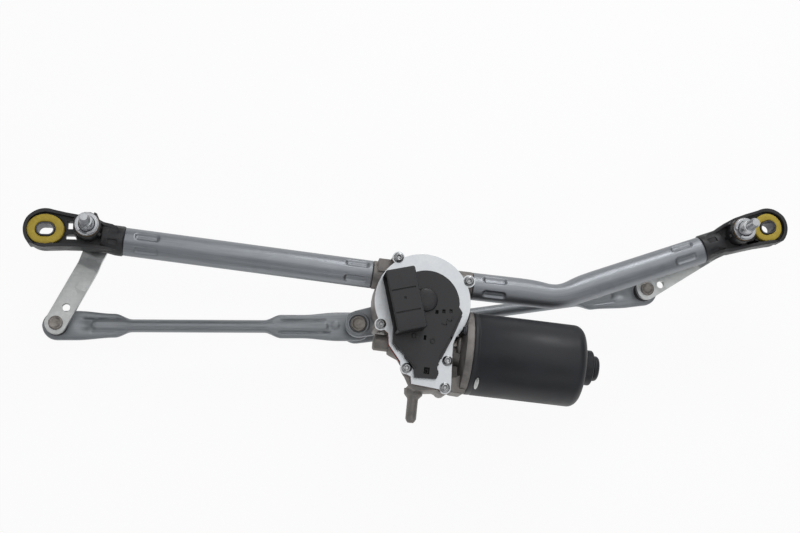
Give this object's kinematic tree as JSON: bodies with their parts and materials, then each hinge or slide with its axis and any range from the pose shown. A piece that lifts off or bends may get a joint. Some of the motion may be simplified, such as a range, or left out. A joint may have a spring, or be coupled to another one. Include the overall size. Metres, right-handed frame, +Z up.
{
  "type": "wiper linkage",
  "caption": "Windscreen wiper linkage: tube frame with a geared motor, two wiper pivots, swinging arms and ball-jointed rods driven by a motor crank.",
  "frame": {"origin": "centre of the bounding box in plan, at the height of its lowest point, which is the socket under the lower ball of the motor crank's stud", "axes": "+X along the frame from the pivot on the long straight tube to the pivot past the bent tube, +Y from the motor towards the pivots' side, +Z up along the wiper shafts towards their threads"},
  "size_m": [0.616, 0.1802, 0.1156],
  "materials": {
    "galvanised_tube": "galvanised, soft sheen",
    "rod_steel": "galvanised, bluish grey, satin",
    "zinc_plate": "bright mottled zinc",
    "bright_steel": "shiny zinc plate",
    "rivet_steel": "brown-grey oiled steel",
    "dark_steel": "blackened, half matt",
    "cast_aluminium": "warm grey die casting, matt",
    "cover_aluminium": "pale satin",
    "black_plastic": "matt moulded",
    "black_can_paint": "black, half gloss",
    "yellow_rubber": "mustard yellow, matt",
    "red_gasket": "red silicone",
    "sintered_bronze": "oiled sintered bronze",
    "white_plastic": "natural gear plastic",
    "copper": "enamelled copper",
    "electrical_steel": "stacked sheet",
    "ferrite": "dark ceramic magnet",
    "phenolic_board": "brown board",
    "carbon_brush": "carbon",
    "brass": "bright pins"
  },
  "bodies": {
    "frame": {"left_tube": "galvanised_tube", "right_tube": "galvanised_tube", "left_pivot_housing": "black_plastic", "right_pivot_housing": "black_plastic", "left_grommet": "yellow_rubber", "right_grommet": "yellow_rubber", "left_grommet_sleeve": "dark_steel", "right_grommet_sleeve": "dark_steel", "left_pivot_bush": "sintered_bronze", "right_pivot_bush": "sintered_bronze", "left_washer": "bright_steel", "right_washer": "bright_steel", "gear_housing": "cast_aluminium", "cover_gasket": "red_gasket", "gear_cover": "cover_aluminium", "cover_screw_1": "bright_steel", "cover_screw_2": "bright_steel", "cover_screw_3": "bright_steel", "cover_screw_4": "bright_steel", "cover_screw_5": "bright_steel", "cover_screw_6": "bright_steel", "motor_screw_1": "bright_steel", "motor_screw_2": "bright_steel", "output_bush": "sintered_bronze", "worm_tail_bush": "sintered_bronze", "worm_drive_bush": "sintered_bronze", "connector_cover": "black_plastic", "connector_terminals": "brass", "motor_can": "black_can_paint", "magnet_1": "ferrite", "magnet_2": "ferrite", "brush_plate": "phenolic_board", "brush_1": "carbon_brush", "brush_2": "carbon_brush", "end_bearing": "sintered_bronze"},
    "armature": {"armature_shaft": "bright_steel", "armature_core": "electrical_steel", "armature_winding": "copper", "commutator": "copper"},
    "motor_crank": {"worm_wheel": "white_plastic", "output_shaft": "bright_steel", "motor_crank_arm": "rod_steel", "crank_nut": "bright_steel", "double_ball_stud": "rivet_steel"},
    "left_link": {"left_rod": "rod_steel", "left_rod_inner_socket": "black_plastic", "left_rod_outer_socket": "black_plastic", "left_ball_stud": "bright_steel"},
    "right_link": {"right_rod": "rod_steel", "right_rod_inner_socket": "black_plastic", "right_rod_outer_socket": "black_plastic", "right_ball_stud": "bright_steel"},
    "left_pivot": {"left_wiper_shaft": "bright_steel", "left_retaining_clip": "bright_steel", "left_pivot_arm": "zinc_plate", "left_arm_rivet": "rivet_steel"},
    "right_pivot": {"right_wiper_shaft": "bright_steel", "right_retaining_clip": "bright_steel", "right_pivot_arm": "zinc_plate", "right_arm_rivet": "rivet_steel"}
  },
  "joints": [
    {"name": "armature_turn", "type": "hinge", "parent": "frame", "child": "armature", "pos_m": [-0.00376, -0.03077, 0.0766], "axis": [-0.9946, 0.1033, 0], "range_deg": [0, 6888]},
    {"name": "crank_turn", "type": "hinge", "parent": "frame", "child": "motor_crank", "pos_m": [-0.0003, 0.00255, 0.0696], "axis": [0, 0, 1], "range_deg": [0, 164]},
    {"name": "left_wiper_turn", "type": "hinge", "parent": "frame", "child": "left_pivot", "pos_m": [-0.2584, 0.05765, 0.0696], "axis": [0, 0, 1], "range_deg": [0, 79.57]},
    {"name": "right_wiper_turn", "type": "hinge", "parent": "frame", "child": "right_pivot", "pos_m": [0.2663, 0.06845, 0.0696], "axis": [0, 0, 1], "range_deg": [0, 74.61]},
    {"name": "left_rod_turn", "type": "hinge", "parent": "motor_crank", "child": "left_link", "pos_m": [-0.0441, -0.00735, 0.0696], "axis": [0, 0, 1], "range_deg": [-169.72, 0]},
    {"name": "right_rod_turn", "type": "hinge", "parent": "motor_crank", "child": "right_link", "pos_m": [-0.0441, -0.00735, 0.0696], "axis": [0, 0, 1], "range_deg": [-174.01, 0]}
  ],
  "couplings": [
    {"joint": "crank_turn", "follows": "armature_turn", "ratio": 0.02381},
    {"joint": "left_wiper_turn", "follows": "armature_turn", "ratio": 0.011552},
    {"joint": "right_wiper_turn", "follows": "armature_turn", "ratio": 0.010832},
    {"joint": "left_rod_turn", "follows": "armature_turn", "ratio": -0.024639},
    {"joint": "right_rod_turn", "follows": "armature_turn", "ratio": -0.025262}
  ]
}
